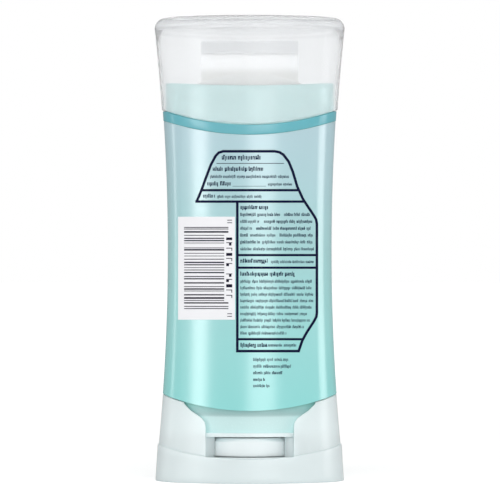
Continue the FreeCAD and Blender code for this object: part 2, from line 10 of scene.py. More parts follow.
import bmesh
import bpy
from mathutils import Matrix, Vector

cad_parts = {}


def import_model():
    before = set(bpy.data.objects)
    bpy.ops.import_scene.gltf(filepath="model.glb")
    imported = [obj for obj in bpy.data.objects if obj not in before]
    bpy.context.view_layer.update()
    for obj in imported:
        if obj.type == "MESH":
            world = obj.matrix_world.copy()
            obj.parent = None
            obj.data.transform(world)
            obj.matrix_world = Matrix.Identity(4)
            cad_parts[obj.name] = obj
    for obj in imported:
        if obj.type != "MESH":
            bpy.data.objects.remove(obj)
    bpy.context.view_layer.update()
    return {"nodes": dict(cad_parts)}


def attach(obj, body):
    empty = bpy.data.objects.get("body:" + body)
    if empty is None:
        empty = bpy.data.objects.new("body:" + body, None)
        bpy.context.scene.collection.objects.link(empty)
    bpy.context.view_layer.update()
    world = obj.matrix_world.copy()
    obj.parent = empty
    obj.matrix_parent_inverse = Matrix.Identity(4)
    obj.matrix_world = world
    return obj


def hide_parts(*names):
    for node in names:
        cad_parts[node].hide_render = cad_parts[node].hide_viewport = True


MM = 0.001

# The camera that took the photograph
CAMERA_HEIGHT = 72.6
CAMERA_DISTANCE = 1024
PIXELS_PER_SLOPE = 3244
PHOTO_CENTRE = (249.7, 250)
PHOTO_SIZE = 500

# The waisted outline, as in the CAD model
WAIST_HEIGHT = 72.6
WAIST_HALF_WIDTH = 25.75
WAIST_HALF_DEPTH = 14
OVAL_STEP = 4
FLANK_RADIUS = 650
END_CENTRE = WAIST_HALF_WIDTH - WAIST_HALF_DEPTH + OVAL_STEP
SIDE_CENTRE = END_CENTRE**2 / (2 * OVAL_STEP) - OVAL_STEP / 2
END_TURN = math.atan2(SIDE_CENTRE, END_CENTRE)

# The curved joint lines
JOINT_RADIUS = 80
CAP_JOINT = 111.6
RING_FOOT = 108.5
BASE_JOINT = 22.6

TURNS = 384


def waist_point(angle):
    """A point of the outline at the waist, by the angle that its normal makes with +X."""
    across, deep = math.cos(angle), math.sin(angle)
    if abs(math.atan2(deep, abs(across))) <= END_TURN:
        radius = WAIST_HALF_WIDTH - END_CENTRE
        return math.copysign(END_CENTRE, across) + radius * across, radius * deep
    radius = WAIST_HALF_DEPTH + SIDE_CENTRE
    return radius * across, radius * deep - math.copysign(SIDE_CENTRE, deep)


def flare(height):
    """How far the flank stands outside the waist at a height."""
    return FLANK_RADIUS - math.sqrt(FLANK_RADIUS**2 - (height - WAIST_HEIGHT) ** 2)


def skin_point(angle, height, offset):
    """A point of the waisted skin, moved out along its normal."""
    x, y = waist_point(angle)
    out = flare(height) + offset
    return Vector((x + out * math.cos(angle), y + out * math.sin(angle), height))


def joint_height(angle, middle, offset=0):
    """The height at which a curved joint line crosses the skin."""
    height = middle
    for _ in range(6):
        x = skin_point(angle, height, offset).x
        height = middle + JOINT_RADIUS - math.sqrt(JOINT_RADIUS**2 - x**2)
    return height


def label_point(px, py, offset):
    """The point of the label, facing the camera, that a pixel shows."""
    depth = -WAIST_HALF_DEPTH
    for _ in range(12):
        scale = (CAMERA_DISTANCE + depth) / PIXELS_PER_SLOPE
        x = (px - PHOTO_CENTRE[0]) * scale
        z = CAMERA_HEIGHT - (py - PHOTO_CENTRE[1]) * scale
        out = flare(z) + offset
        side_radius = WAIST_HALF_DEPTH + SIDE_CENTRE + out
        if abs(x) <= side_radius * math.cos(END_TURN):
            depth = SIDE_CENTRE - math.sqrt(side_radius**2 - x**2)
        else:
            end_radius = WAIST_HALF_WIDTH - END_CENTRE + out
            reach = min(abs(x) - END_CENTRE, end_radius)
            depth = -math.sqrt(end_radius**2 - reach**2)
    return Vector((x, depth, z))


def mesh_piece(name, points, faces, material, smooth_under=35):
    """A mesh object from millimetre points, shaded smooth except over sharp edges."""
    mesh = bpy.data.meshes.new(name)
    mesh.from_pydata([Vector(point) * MM for point in points], [], faces)
    work = bmesh.new()
    work.from_mesh(mesh)
    bmesh.ops.recalc_face_normals(work, faces=work.faces)
    work.to_mesh(mesh)
    work.free()
    piece = bpy.data.objects.new(name, mesh)
    bpy.context.scene.collection.objects.link(piece)
    mesh.materials.append(material)
    shade_smooth(mesh, smooth_under)
    return piece


def shade_smooth(mesh, smooth_under=35):
    """Smooth shading with sharp edges over an angle in degrees."""
    mesh.shade_smooth()
    mesh.set_sharp_from_angle(angle=math.radians(smooth_under))


def tube_faces(rings, around, closed=True):
    """Quads between rings of points; closed joins the last ring to the first."""
    last = rings if closed else rings - 1
    return [
        (
            i * around + j,
            i * around + (j + 1) % around,
            (i + 1) % rings * around + (j + 1) % around,
            (i + 1) % rings * around + j,
        )
        for i in range(last)
        for j in range(around)
    ]


def angles():
    return [2 * math.pi * j / TURNS for j in range(TURNS)]


def arc(centre, radius, start, end, steps):
    """Points of a profile's corner: (offset, height) pairs round a centre."""
    turns = [math.radians(start + (end - start) * i / steps) for i in range(steps + 1)]
    return [(centre[0] + radius * math.cos(t), centre[1] + radius * math.sin(t)) for t in turns]


# Materials


def new_material(name):
    material = bpy.data.materials.new(name)
    material.use_nodes = True
    nodes = material.node_tree.nodes
    return material, nodes, material.node_tree.links, nodes["Principled BSDF"]


def object_place(nodes):
    return nodes.new("ShaderNodeTexCoord").outputs["Object"]


def noise(nodes, links, place, scale, detail=3):
    texture = nodes.new("ShaderNodeTexNoise")
    texture.inputs["Scale"].default_value = scale
    texture.inputs["Detail"].default_value = detail
    links.new(place, texture.inputs["Vector"])
    return texture.outputs["Fac"]


def spread(nodes, links, value, low, high):
    """Maps a noise onto a narrow range."""
    node = nodes.new("ShaderNodeMapRange")
    node.inputs["From Min"].default_value = 0.3
    node.inputs["From Max"].default_value = 0.7
    node.inputs["To Min"].default_value = low
    node.inputs["To Max"].default_value = high
    links.new(value, node.inputs["Value"])
    return node.outputs["Result"]


def two_colours(nodes, links, value, dark, light):
    """A colour between two, by a noise."""
    ramp = nodes.new("ShaderNodeValToRGB")
    ramp.color_ramp.elements[0].position = 0.35
    ramp.color_ramp.elements[0].color = (*dark, 1)
    ramp.color_ramp.elements[1].position = 0.65
    ramp.color_ramp.elements[1].color = (*light, 1)
    links.new(value, ramp.inputs["Fac"])
    return ramp.outputs["Color"]


def add_bump(nodes, links, shader, value, depth):
    bump = nodes.new("ShaderNodeBump")
    bump.inputs["Strength"].default_value = 1
    bump.inputs["Distance"].default_value = depth * MM
    links.new(value, bump.inputs["Height"])
    links.new(bump.outputs["Normal"], shader.inputs["Normal"])


def srgb(red, green, blue):
    """A linear colour from the 0 to 255 values of a picture."""
    def linear(value):
        value /= 255
        return value / 12.92 if value <= 0.04045 else ((value + 0.055) / 1.055) ** 2.4
    return tuple(linear(value) for value in (red, green, blue))


def moulded_plastic(name, colour, roughness, sway=0.02, grain=900, depth=0.004, uneven=0.04):
    """Moulded plastic: a faint cloud in the colour, uneven gloss and a fine spark texture."""
    material, nodes, links, shader = new_material(name)
    place = object_place(nodes)
    cloud = noise(nodes, links, place, 60)
    dark = tuple(max(c - sway, 0) for c in colour)
    light = tuple(min(c + sway / 2, 1) for c in colour)
    links.new(two_colours(nodes, links, cloud, dark, light), shader.inputs["Base Color"])
    spark = noise(nodes, links, place, grain * 4)
    gloss = spread(nodes, links, spark, roughness - uneven, roughness + uneven)
    links.new(gloss, shader.inputs["Roughness"])
    add_bump(nodes, links, shader, spark, depth)
    return material, shader


def frosted_plastic(name, colour, roughness, clear):
    """Translucent polypropylene: light passes, and what lies close behind shows through."""
    material, shader = moulded_plastic(name, colour, roughness, sway=0.008, grain=250, depth=0.0002)
    shader.inputs["Transmission Weight"].default_value = clear
    shader.inputs["IOR"].default_value = 1.2
    return material


def milky_plastic(name, colour, roughness, depth):
    """Thick translucent plastic, in which light spreads before it comes out again."""
    material, shader = moulded_plastic(
        name, colour, roughness, sway=0.002, grain=60, depth=0.0005, uneven=0.006
    )
    shader.inputs["Subsurface Weight"].default_value = 0.6
    shader.inputs["Subsurface Radius"].default_value = (1, 1, 1)
    shader.inputs["Subsurface Scale"].default_value = depth * MM
    return material


def paint_light_by_height(material, ramp_stops):
    """Paints light and shade onto a moulded plastic as a colour by height, in place of its even
    one.
    """
    nodes, links = material.node_tree.nodes, material.node_tree.links
    colour = colour_by_height(nodes, links, object_place(nodes), ramp_stops)
    links.new(colour, nodes["Principled BSDF"].inputs["Base Color"])


# The seal, with painted light and shade: the dome and the tab's bar painted darker as shade, and
# the thin plate of the tab, which lets light through, painted bright with that light
SEAL_PAINTED_LIGHT_RAMP = (
    (115, (222, 220, 217)), (128.2, (222, 222, 220)), (130.5, (250, 250, 250)),
    (134.1, (252, 252, 252)), (134.6, (214, 215, 216)), (139, (216, 217, 218)),
)
# The barrel: one plastic in painted lit and shaded tones, paler where it shows in the window, with
# a painted shadow at the label's foot, and painted deeper at the neck
BARREL_PAINTED_SHADE_RAMP = (
    (14, (205, 235, 234)), (20.5, (206, 236, 235)), (21.2, (168, 200, 199)),
    (22.6, (164, 206, 204)), (24.5, (150, 208, 202)), (100, (184, 217, 216)),
    (126, (184, 217, 216)),
)


def colour_by_height(nodes, links, place, ramp_stops):
    """A colour that changes smoothly with height, from (millimetres, colour) stops."""
    split = nodes.new("ShaderNodeSeparateXYZ")
    links.new(place, split.inputs["Vector"])
    height = nodes.new("ShaderNodeMapRange")
    height.inputs["From Min"].default_value = ramp_stops[0][0] * MM
    height.inputs["From Max"].default_value = ramp_stops[-1][0] * MM
    links.new(split.outputs["Z"], height.inputs["Value"])
    ramp = nodes.new("ShaderNodeValToRGB")
    span = ramp_stops[-1][0] - ramp_stops[0][0]
    stops = ramp.color_ramp.elements
    for i, (level, colour) in enumerate(ramp_stops):
        share = (level - ramp_stops[0][0]) / span
        stop = stops[0] if i == 0 else stops[-1] if share == 1 else stops.new(share)
        stop.position = share
        stop.color = (*srgb(*colour), 1)
    links.new(height.outputs["Result"], ramp.inputs["Fac"])
    return ramp.outputs["Color"]


LABEL_RAMP = (
    (22, (144, 219, 216)),
    (45, (156, 219, 217)),
    (72, (166, 213, 214)),
    (95, (176, 211, 217)),
    (112, (181, 210, 218)),
)


def label_film():
    """The printed film: a pale blue that runs into teal, with a pearly sheen."""
    material, nodes, links, shader = new_material("label_film")
    place = object_place(nodes)
    colour = colour_by_height(nodes, links, place, LABEL_RAMP)
    links.new(colour, shader.inputs["Base Color"])
    pearl = noise(nodes, links, place, 700)
    links.new(spread(nodes, links, pearl, 0.21, 0.24), shader.inputs["Roughness"])
    shader.inputs["Specular IOR Level"].default_value = 1
    add_bump(nodes, links, shader, pearl, 0.0015)
    return material


def printing_ink(name, colour):
    """Screened ink: a little uneven in tone and gloss."""
    material, shader = moulded_plastic(name, colour, 0.42, sway=0.006, grain=1500, depth=0.001)
    shader.inputs["Specular IOR Level"].default_value = 0.1
    return material


# Pieces


def shell_of_profiles(name, profile_at, material):
    """A closed shell from an (offset, height) loop worked out at each angle round the oval."""
    columns = [
        [skin_point(angle, height, offset) for offset, height in profile_at(angle)]
        for angle in angles()
    ]
    rings = len(columns[0])
    points = [columns[j][i] for i in range(rings) for j in range(TURNS)]
    return mesh_piece(name, points, tube_faces(rings, TURNS), material)


def make_label(material):
    """The printed film round the barrel, between the band and the base."""
    steps = 26

    def profile(angle):
        low = joint_height(angle, BASE_JOINT)
        high = joint_height(angle, RING_FOOT) - 0.15
        levels = [low + (high - low) * i / steps for i in range(steps + 1)]
        return [(0.1, level) for level in levels] + [(0.04, level) for level in reversed(levels)]

    return shell_of_profiles("label_wrap", profile, material)


def make_band(material):
    """The glossy band between the label and the over-cap, with rolled edges."""
    def profile(angle):
        low = joint_height(angle, RING_FOOT)
        high = joint_height(angle, CAP_JOINT)
        edge = 0.3
        outer = 0.2
        top = arc((outer - edge, high - edge), edge, 0, 90, 4)
        foot = arc((outer - edge, low + edge), edge, -90, 0, 4)
        return foot + top + [(-0.7, high), (-0.7, low)]

    return shell_of_profiles("colour_band", profile, material)


CAP_TOP = 145.6
CAP_CROWN = ((-5, 145.84), (-9, 145.96), (-12.5, 146))
CAP_CORNER = 3.2
CAP_WALL = 0.8
CAP_TOP_WALL = 1.4
CAP_PROUD = 0.44


def make_cap(material):
    """The over-cap: a thin frosted shell with rolled top and rim."""
    steps = 10
    rim = 0.3
    corner_foot = CAP_TOP - CAP_CORNER
    ceiling = CAP_TOP - CAP_TOP_WALL
    inner_corner = CAP_CORNER - CAP_WALL

    def corner(centre_height, radius, proud):
        base = proud - radius
        for part in arc((base, centre_height), radius, 0, 90, 8):
            yield part[0] + flare(centre_height) - flare(part[1]), part[1]

    def profile(angle):
        low = joint_height(angle, CAP_JOINT + 0.3)
        levels = [low + rim + (corner_foot - low - rim) * i / steps for i in range(steps)]
        outer = arc((CAP_PROUD - rim, low + rim), rim, -90, 0, 3)[:-1]
        outer += [(CAP_PROUD, level) for level in levels]
        outer += list(corner(corner_foot, CAP_CORNER, CAP_PROUD))
        outer += CAP_CROWN
        inner_high = ceiling - inner_corner
        # These rings run up and the next ones down, so the inner surface crosses itself
        inner = list(corner(inner_high, inner_corner, CAP_PROUD - CAP_WALL))
        inner += [
            (CAP_PROUD - CAP_WALL, inner_high + (low - inner_high) * i / steps)
            for i in range(1, steps + 1)
        ]
        return outer, inner

    both = [profile(angle) for angle in angles()]
    points, faces = [], []
    for side in (0, 1):
        start = len(points)
        rings = len(both[0][side])
        for i in range(rings):
            for j, angle in enumerate(angles()):
                offset, height = both[j][side][i]
                points.append(skin_point(angle, height, offset))
        faces += [tuple(start + k for k in face) for face in tube_faces(rings, TURNS, closed=False)]
        last_ring = start + (rings - 1) * TURNS
        if side == 0:
            outer_rim, flat = start, last_ring
        else:
            inner_rim, flat = last_ring, start
        faces.append(tuple(range(flat, flat + TURNS)))
    for j in range(TURNS):
        k = (j + 1) % TURNS
        faces.append((outer_rim + j, outer_rim + k, inner_rim + k, inner_rim + j))
    return mesh_piece("cap_shell", points, faces, material)


NECK_LIP_FOOT = 120.5
NECK_LIP_TOP = 123.9
NECK_LIP_RADIUS = 280


NECK_END_RADIUS, NECK_SIDE_RADIUS = 10.45, 44.65
NECK_END_CENTRE, NECK_SIDE_CENTRE = 16.05, 30.2


def neck_point(angle, step):
    """A point of the neck's oval, moved in by a step along its normal, seen from above."""
    across, deep = math.cos(angle), math.sin(angle)
    if abs(math.atan2(deep, abs(across))) <= math.atan2(NECK_SIDE_CENTRE, NECK_END_CENTRE):
        radius = NECK_END_RADIUS - step
        return math.copysign(NECK_END_CENTRE, across) + radius * across, radius * deep
    radius = NECK_SIDE_RADIUS - step
    return radius * across, radius * deep - math.copysign(NECK_SIDE_CENTRE, deep)


def make_neck_lip(material):
    """The top of the neck, with its soft edge, round the seal."""
    rounding = 0.3
    loop = [(-0.02, None, 0), (-0.02, rounding, 1), (0.07, 0.09, 1), (rounding, 0, 1), (0.9, 0, 1),
            (1.13, 0.1, 1), (1.22, rounding, 1), (1.22, None, 0)]
    points = []
    for step, drop, at_top in loop:
        for angle in angles():
            x, y = neck_point(angle, step)
            top = NECK_LIP_TOP + NECK_LIP_RADIUS - math.sqrt(NECK_LIP_RADIUS**2 - x**2)
            points.append((x, y, top - drop if at_top else NECK_LIP_FOOT))
    return mesh_piece("neck_lip", points, tube_faces(len(loop), TURNS), material)


FOOT_OUT = 4.0
FOOT_TAPER = 0.0625
LEDGE_RADIUS = 109
LEDGE_HEIGHT = 7.6
LEDGE_ROUND = 0.4
BASE_WALL = 1.2
BASE_PROUD = 0.05
DECK = (14.4, 15.6)
SOCKET_OUT = 0.45
WINDOW = (
    (-13.75, 8.1), (13.75, 8.1), (13.75, 17.6), (14.0, 18.9), (14.9, 20.1), (16.4, 21.2),
    (18.4, 22.5), (20.5, 24.6), (20.5, 40), (-20.5, 40), (-20.5, 24.6), (-18.4, 22.5),
    (-16.4, 21.2), (-14.9, 20.1), (-14.0, 18.9), (-13.75, 17.6),
)


def ledge_line(angle):
    """The height of the ledge, an arc that is lowest at the front and the back."""
    height = LEDGE_HEIGHT
    for _ in range(6):
        x = skin_point(angle, height, FOOT_OUT - FOOT_TAPER * height - flare(height)).x
        height = LEDGE_HEIGHT + LEDGE_RADIUS - math.sqrt(LEDGE_RADIUS**2 - x**2)
    return height


def base_profile(angle):
    """The wall of the base: foot, ledge, wing, rim, then down the inside."""
    ledge = ledge_line(angle)
    rim = joint_height(angle, BASE_JOINT - 0.3)

    def foot(height):
        return FOOT_OUT - FOOT_TAPER * height - flare(height)

    roll = 0.2
    loop = arc((foot(0.3) - roll, roll), roll, -90, 0, 3)
    loop += [(foot(ledge * share), ledge * share) for share in (0.25, 0.5, 0.75)]
    loop += arc((foot(ledge) - LEDGE_ROUND, ledge - LEDGE_ROUND), LEDGE_ROUND, 0, 90, 4)
    loop += [(BASE_PROUD + 0.05, ledge + 0.01), (BASE_PROUD, ledge + 0.06)]
    rise = rim - ledge
    loop += [(BASE_PROUD, ledge + rise * share) for share in (0.2, 0.4, 0.6, 0.8)]
    loop += arc((BASE_PROUD - roll, rim - roll), roll, 0, 90, 3)
    loop += [(SOCKET_OUT - flare(rim), rim), (SOCKET_OUT - flare(DECK[1]), DECK[1])]
    inside = FOOT_OUT - BASE_WALL
    deck_out = BASE_PROUD - BASE_WALL
    loop += [(deck_out, DECK[0]), (deck_out + 0.35, 8), (inside - flare(0), 0)]
    return loop


def prism(name, outline, near, far):
    """A closed block over an outline in the front plane."""
    points = [(x, y, z) for y in (near, far) for x, z in outline]
    count = len(outline)
    faces = [tuple(range(count)), tuple(reversed(range(count, 2 * count)))]
    faces += [(i, (i + 1) % count, count + (i + 1) % count, count + i) for i in range(count)]
    return mesh_piece(name, points, faces, bpy.data.materials[0])


def cut_with(piece, cutter):
    """Takes the cutter's room out of the piece and removes the cutter."""
    modifier = piece.modifiers.new("cut", "BOOLEAN")
    modifier.operation = "DIFFERENCE"
    modifier.solver = "EXACT"
    modifier.object = cutter
    graph = bpy.context.evaluated_depsgraph_get()
    mesh = bpy.data.meshes.new_from_object(piece.evaluated_get(graph))
    piece.modifiers.clear()
    old = piece.data
    piece.data = mesh
    bpy.data.meshes.remove(old)
    mesh.name = piece.name
    bpy.data.objects.remove(cutter)
    shade_smooth(mesh)


def make_base(material):
    """The wall of the base with its two thumb windows."""
    piece = shell_of_profiles("base_shell", base_profile, material)
    cut_with(piece, prism("window_cutter", WINDOW, -30, 30))
    return piece


# Seen from above: a guard beside the window, from the dial's rim to the inside of the wall
GUARD = ((10.9, -12.42), (13.75, -13.45), (15.2, -13.3), (15.2, -12.25), (11.4, -12.25))
GUARD_FOOT = 7.2
DECK_HOLE = 4.6
# How far the deck runs into the wall, and the webs and guards into the deck
OVERLAP = 0.3
WEB_PLACES = (-6, 0, 6)
WEB_INNER_END = 17.3
WEB_END_RADIUS = 12.2
WEB_HALF = 0.5
WEB_FOOT = 4
WEB_FACES = ((0, 1, 3, 2), (4, 6, 7, 5), (0, 4, 5, 1), (2, 3, 7, 6), (0, 2, 6, 4), (1, 5, 7, 3))


def make_deck(material):
    """The deck that the dial hangs from, the webs under it and the guards beside the windows."""
    points = []
    for height in DECK:
        points += [skin_point(a, height, BASE_PROUD - BASE_WALL + OVERLAP) for a in angles()]
        points += [
            Vector((DECK_HOLE * math.cos(a), DECK_HOLE * math.sin(a), height)) for a in angles()
        ]
    low_out, low_in, high_out, high_in = (TURNS * i for i in range(4))
    bands = ((low_out, low_in), (low_in, high_in), (high_in, high_out), (high_out, low_out))
    faces = []
    for j in range(TURNS):
        k = (j + 1) % TURNS
        for first, second in bands:
            faces.append((first + j, first + k, second + k, second + j))
    for side in (-1, 1):
        for place in WEB_PLACES:
            start = len(points)
            outer_end = END_CENTRE + math.sqrt(WEB_END_RADIUS**2 - place**2)
            for reach in (WEB_INNER_END, outer_end):
                for y in (place - WEB_HALF, place + WEB_HALF):
                    for z in (WEB_FOOT, DECK[0] + OVERLAP):
                        points.append(Vector((side * reach, y, z)))
            faces += [tuple(start + i for i in face) for face in WEB_FACES]
        for front in (-1, 1):
            start, count = len(points), len(GUARD)
            top = start + count
            for z in (GUARD_FOOT, DECK[0] + OVERLAP):
                points += [Vector((side * x, front * y, z)) for x, y in GUARD]
            faces += [tuple(range(start, top)), tuple(range(top, top + count))]
            faces += [
                (start + i, start + (i + 1) % count, top + (i + 1) % count, top + i)
                for i in range(count)
            ]
    return mesh_piece("base_deck", points, faces, material)


def add_plate(store, grid, low, high):
    """A thin closed plate on the label over a grid of pixels, rows of equal length."""
    points, faces = store
    start = len(points)
    rows, columns = len(grid), len(grid[0])
    for offset in (low, high):
        points += [label_point(px, py, offset) for row in grid for px, py in row]
    level = rows * columns

    def at(row, column, top):
        return start + row * columns + column + top * level

    for r in range(rows - 1):
        for c in range(columns - 1):
            faces.append((at(r, c, 1), at(r + 1, c, 1), at(r + 1, c + 1, 1), at(r, c + 1, 1)))
            faces.append((at(r, c, 0), at(r, c + 1, 0), at(r + 1, c + 1, 0), at(r + 1, c, 0)))
    border = [(0, c) for c in range(columns)]
    border += [(r, columns - 1) for r in range(1, rows)]
    border += [(rows - 1, c) for c in range(columns - 2, -1, -1)]
    border += [(r, 0) for r in range(rows - 2, 0, -1)]
    for (r1, c1), (r2, c2) in zip(border, border[1:] + border[:1]):
        faces.append((at(r1, c1, 0), at(r2, c2, 0), at(r2, c2, 1), at(r1, c1, 1)))


def between(first, last, step):
    """Evenly spaced values, at most a step apart."""
    count = max(1, math.ceil(abs(last - first) / step))
    return [first + (last - first) * i / count for i in range(count + 1)]


# In pixels: a plate with wider columns sinks below the curved label at its left edge
COLUMN_STEP = 2
ROW_STEP = 10


def add_box(store, left, top, right, bottom, low=0.09, high=0.13):
    """A printed rectangle, in pixels, that stands from low to high above the skin."""
    columns, rows = between(left, right, COLUMN_STEP), between(top, bottom, ROW_STEP)
    grid = [[(x, y) for x in columns] for y in rows]
    add_plate(store, grid, low, high)


def add_line(store, path, width, low=0.09, high=0.13):
    """A printed line of even width along a path of pixels, with mitred corners."""
    fine = [path[0]]
    for (x1, y1), (x2, y2) in zip(path, path[1:]):
        for share in between(0, 1, 5 / max(5, math.hypot(x2 - x1, y2 - y1)))[1:]:
            fine.append((x1 + (x2 - x1) * share, y1 + (y2 - y1) * share))
    normals = []
    for (x1, y1), (x2, y2) in zip(fine, fine[1:]):
        length = math.hypot(x2 - x1, y2 - y1)
        normals.append(((y1 - y2) / length, (x2 - x1) / length))
    grid = [[], []]
    for i, (x, y) in enumerate(fine):
        before, after = normals[max(i - 1, 0)], normals[min(i, len(normals) - 1)]
        nx, ny = before[0] + after[0], before[1] + after[1]
        reach = width / (nx * nx + ny * ny)
        grid[0].append((x + nx * reach, y + ny * reach))
        grid[1].append((x - nx * reach, y - ny * reach))
    add_plate(store, grid, low, high)


# The ruled panel: its outline, and its rules as (left, right, height, width)
PANEL_TOP = (
    (196.4, 202.3), (201.6, 189.8), (205.8, 178.1), (210.8, 164.9), (215.7, 155.8), (218.8, 152.6),
    (223.2, 151.3), (274.6, 151.3), (279.4, 152.2), (283.3, 154.6), (288.7, 161.6), (292.8, 171.6),
    (297.2, 186.4), (303.2, 199.5), (313.9, 215.6), (316.1, 219.4), (316.9, 223.5), (316.9, 313),
    (316.3, 316.8), (313.9, 321.4), (307, 332), (302.3, 340.5), (298.7, 351.1), (237.3, 351.1),
    (237.3, 201.8),
)
RULES = (
    (201.5, 297.8, 190.2, 2.4),
    (195.2, 304.4, 201.6, 2.4),
    (237.3, 316.9, 255.1, 2.3),
    (237.3, 316.9, 267.7, 2.3),
    (237.3, 302.6, 339.2, 2.3),
    (216.5, 284.0, 163.4, 0.6),
    (232.5, 266.0, 186.2, 0.35),
)
# Greeked rows of small print: (left, right, middle height, letter height, weight)
BOLD, MEDIUM, FINE = 0.98, 0.84, 0.62
SMALL_PRINT = (
    (221.8, 261.0, 157.8, 6.0, BOLD), (212.8, 262.6, 169.2, 5.4, BOLD),
    (210.2, 289.0, 176.8, 3.9, FINE), (207.3, 231.0, 183.9, 5.2, BOLD),
    (268.0, 292.5, 184.4, 3.6, FINE), (203.2, 215.3, 196.2, 4.9, BOLD),
    (217.4, 261.2, 196.7, 3.6, FINE), (240.5, 267.5, 207.6, 5.2, BOLD),
    (240.3, 280.0, 214.8, 4.0, MEDIUM), (284.0, 310.5, 214.8, 4.0, MEDIUM),
    (240.3, 259.5, 221.7, 3.8, FINE), (264.0, 312.6, 221.7, 4.0, MEDIUM),
    (240.3, 252.0, 228.6, 3.8, FINE), (256.2, 310.8, 228.6, 4.0, MEDIUM),
    (240.3, 248.5, 235.4, 4.0, MEDIUM), (250.2, 275.0, 235.4, 3.8, FINE),
    (279.6, 312.0, 235.4, 4.0, MEDIUM), (240.3, 260.0, 242.3, 4.0, MEDIUM),
    (262.2, 312.0, 242.3, 3.8, FINE), (240.3, 313.8, 249.2, 3.8, FINE),
    (240.3, 268.0, 261.2, 5.2, BOLD), (271.0, 313.6, 262.0, 3.7, FINE),
    (240.3, 294.2, 274.2, 5.2, BOLD), (240.3, 312.2, 281.6, 3.8, FINE),
    (240.3, 311.2, 288.2, 3.8, FINE), (240.3, 313.0, 294.6, 3.8, FINE),
    (240.3, 313.4, 301.0, 3.8, FINE), (240.3, 311.6, 307.5, 3.8, FINE),
    (240.3, 307.0, 314.0, 3.8, FINE), (240.3, 309.8, 320.5, 3.8, FINE),
    (240.3, 304.2, 327.0, 3.8, FINE), (240.3, 286.8, 333.4, 3.8, FINE),
    (240.5, 266.4, 345.4, 5.0, BOLD), (268.4, 296.6, 345.4, 3.9, MEDIUM),
    (253.2, 288.4, 359.8, 4.0, FINE), (253.2, 291.4, 366.5, 4.0, FINE),
    (253.2, 282.0, 373.1, 3.8, MEDIUM), (253.2, 265.2, 379.8, 3.8, MEDIUM),
    (253.2, 269.6, 386.0, 3.6, FINE),
)


def add_small_print(store, left, right, middle, height, weight, dice):
    """A row of greeked words: narrow upright strokes that spell nothing."""
    x = left
    while x < right - 0.8:
        word_end = min(right, x + dice.uniform(6, 17) * height / 4)
        while x < word_end - 0.3:
            stroke = dice.uniform(0.5, 0.95) * weight * height / 4
            tall = dice.random()
            top = middle - height / 2 if tall > 0.72 else middle - height * 0.3
            foot = middle + height / 2 if tall < 0.1 else middle + height * 0.3
            if dice.random() < 0.34:
                level = dice.choice((top, (top + foot) / 2, foot - 0.22 * height))
                add_box(store, x, level, x + stroke * 1.5, level + 0.22 * height)
            add_box(store, x, top, x + stroke, foot)
            x += stroke + dice.uniform(0.36, 0.5) * height / 4
        x = word_end + 0.3 * height


def make_panel_print(ink):
    """The ruled panel, in navy: its outline and its rules, without the small print."""
    store = ([], [])
    add_line(store, PANEL_TOP, 2.6)
    for left, right, level, width in RULES:
        add_box(store, left, level - width / 2, right, level + width / 2, high=0.125)
    return mesh_piece("panel_print", *store, ink)


def make_small_print(ink):
    """The greeked rows of text."""
    store = ([], [])
    dice = random.Random(7)
    for left, right, middle, height, weight in SMALL_PRINT:
        add_small_print(store, left, right, middle, height, weight, dice)
    return mesh_piece("small_print", *store, ink)


PATCH = (178.0, 216.7, 235.0, 319.7)
# The bars have the places of the photograph's own code, so they are not generic, and a
# list of other bars has to take their place: (height in the photograph, thickness)
BARS = (
    (227.4, 0.8), (229.0, 0.8), (231.9, 1.6), (235.3, 0.7), (238.3, 1.1), (240.6, 1.2),
    (243.0, 0.6), (247.9, 0.7), (249.8, 1.5), (253.3, 0.6), (256.0, 0.6), (259.2, 0.8),
    (262.4, 1.3), (264.8, 1.1), (267.6, 0.6), (270.0, 0.8), (272.6, 1.2), (276.5, 0.9),
    (278.8, 1.2), (282.9, 1.3), (286.6, 0.7), (289.0, 1.4), (291.0, 0.7), (294.8, 1.2),
    (298.0, 1.7), (300.5, 0.7), (302.9, 1.3), (306.4, 0.8), (308.6, 0.8),
)
GUARD_BARS = (0, 1, 2, 26, 27, 28)
BAR_LEFT = 184.1
BAR_RIGHT = 224.2
GUARD_BAR_RIGHT = 228.4
# The greeked signs beside the bars: their edges, their row, its gap and the two end signs
SIGN_LEFT, SIGN_RIGHT = 226.2, 232.2
SIGN_ROW = (237.5, 300)
SIGN_GAP = (265, 271)
END_SIGNS = (219.8, 313.4)


def make_code_patch(white):
    """The white field behind the bars."""
    store = ([], [])
    add_box(store, *PATCH, low=0.09, high=0.12)
    return mesh_piece("code_patch", *store, white)


def make_code_bars(ink):
    """The bars, and beside them a greeked row of signs that spell nothing."""
    store = ([], [])
    dice = random.Random(3)

    def stroke(left, top, right, bottom):
        add_box(store, left, top, right, bottom, low=0.11, high=0.15)

    for i, (level, width) in enumerate(BARS):
        right = GUARD_BAR_RIGHT if i in GUARD_BARS else BAR_RIGHT
        stroke(BAR_LEFT, level - width / 2, right, level + width / 2)
    level = SIGN_ROW[0]
    while level < SIGN_ROW[1]:
        tall = dice.uniform(2.3, 3.4)
        if not SIGN_GAP[0] < level < SIGN_GAP[1]:
            stroke(SIGN_LEFT, level, SIGN_RIGHT, level + 0.75)
            left, right = dice.choice((SIGN_LEFT, 231.4)), dice.choice((229.0, SIGN_RIGHT))
            stroke(left, level, right, level + tall)
        level += tall + 2.2
    for level in END_SIGNS:
        stroke(227.3, level, 232.0, level + 0.7)
        stroke(227.3, level + 2.6, 232.0, level + 3.3)
    return mesh_piece("code_bars", *store, ink)


THREAD_LEAD = 6
THREAD_TURNS = 13.5
THREAD_FOOT = 20.2
CORE_RADIUS = 2.5
THREAD_RADIUS = 3.8


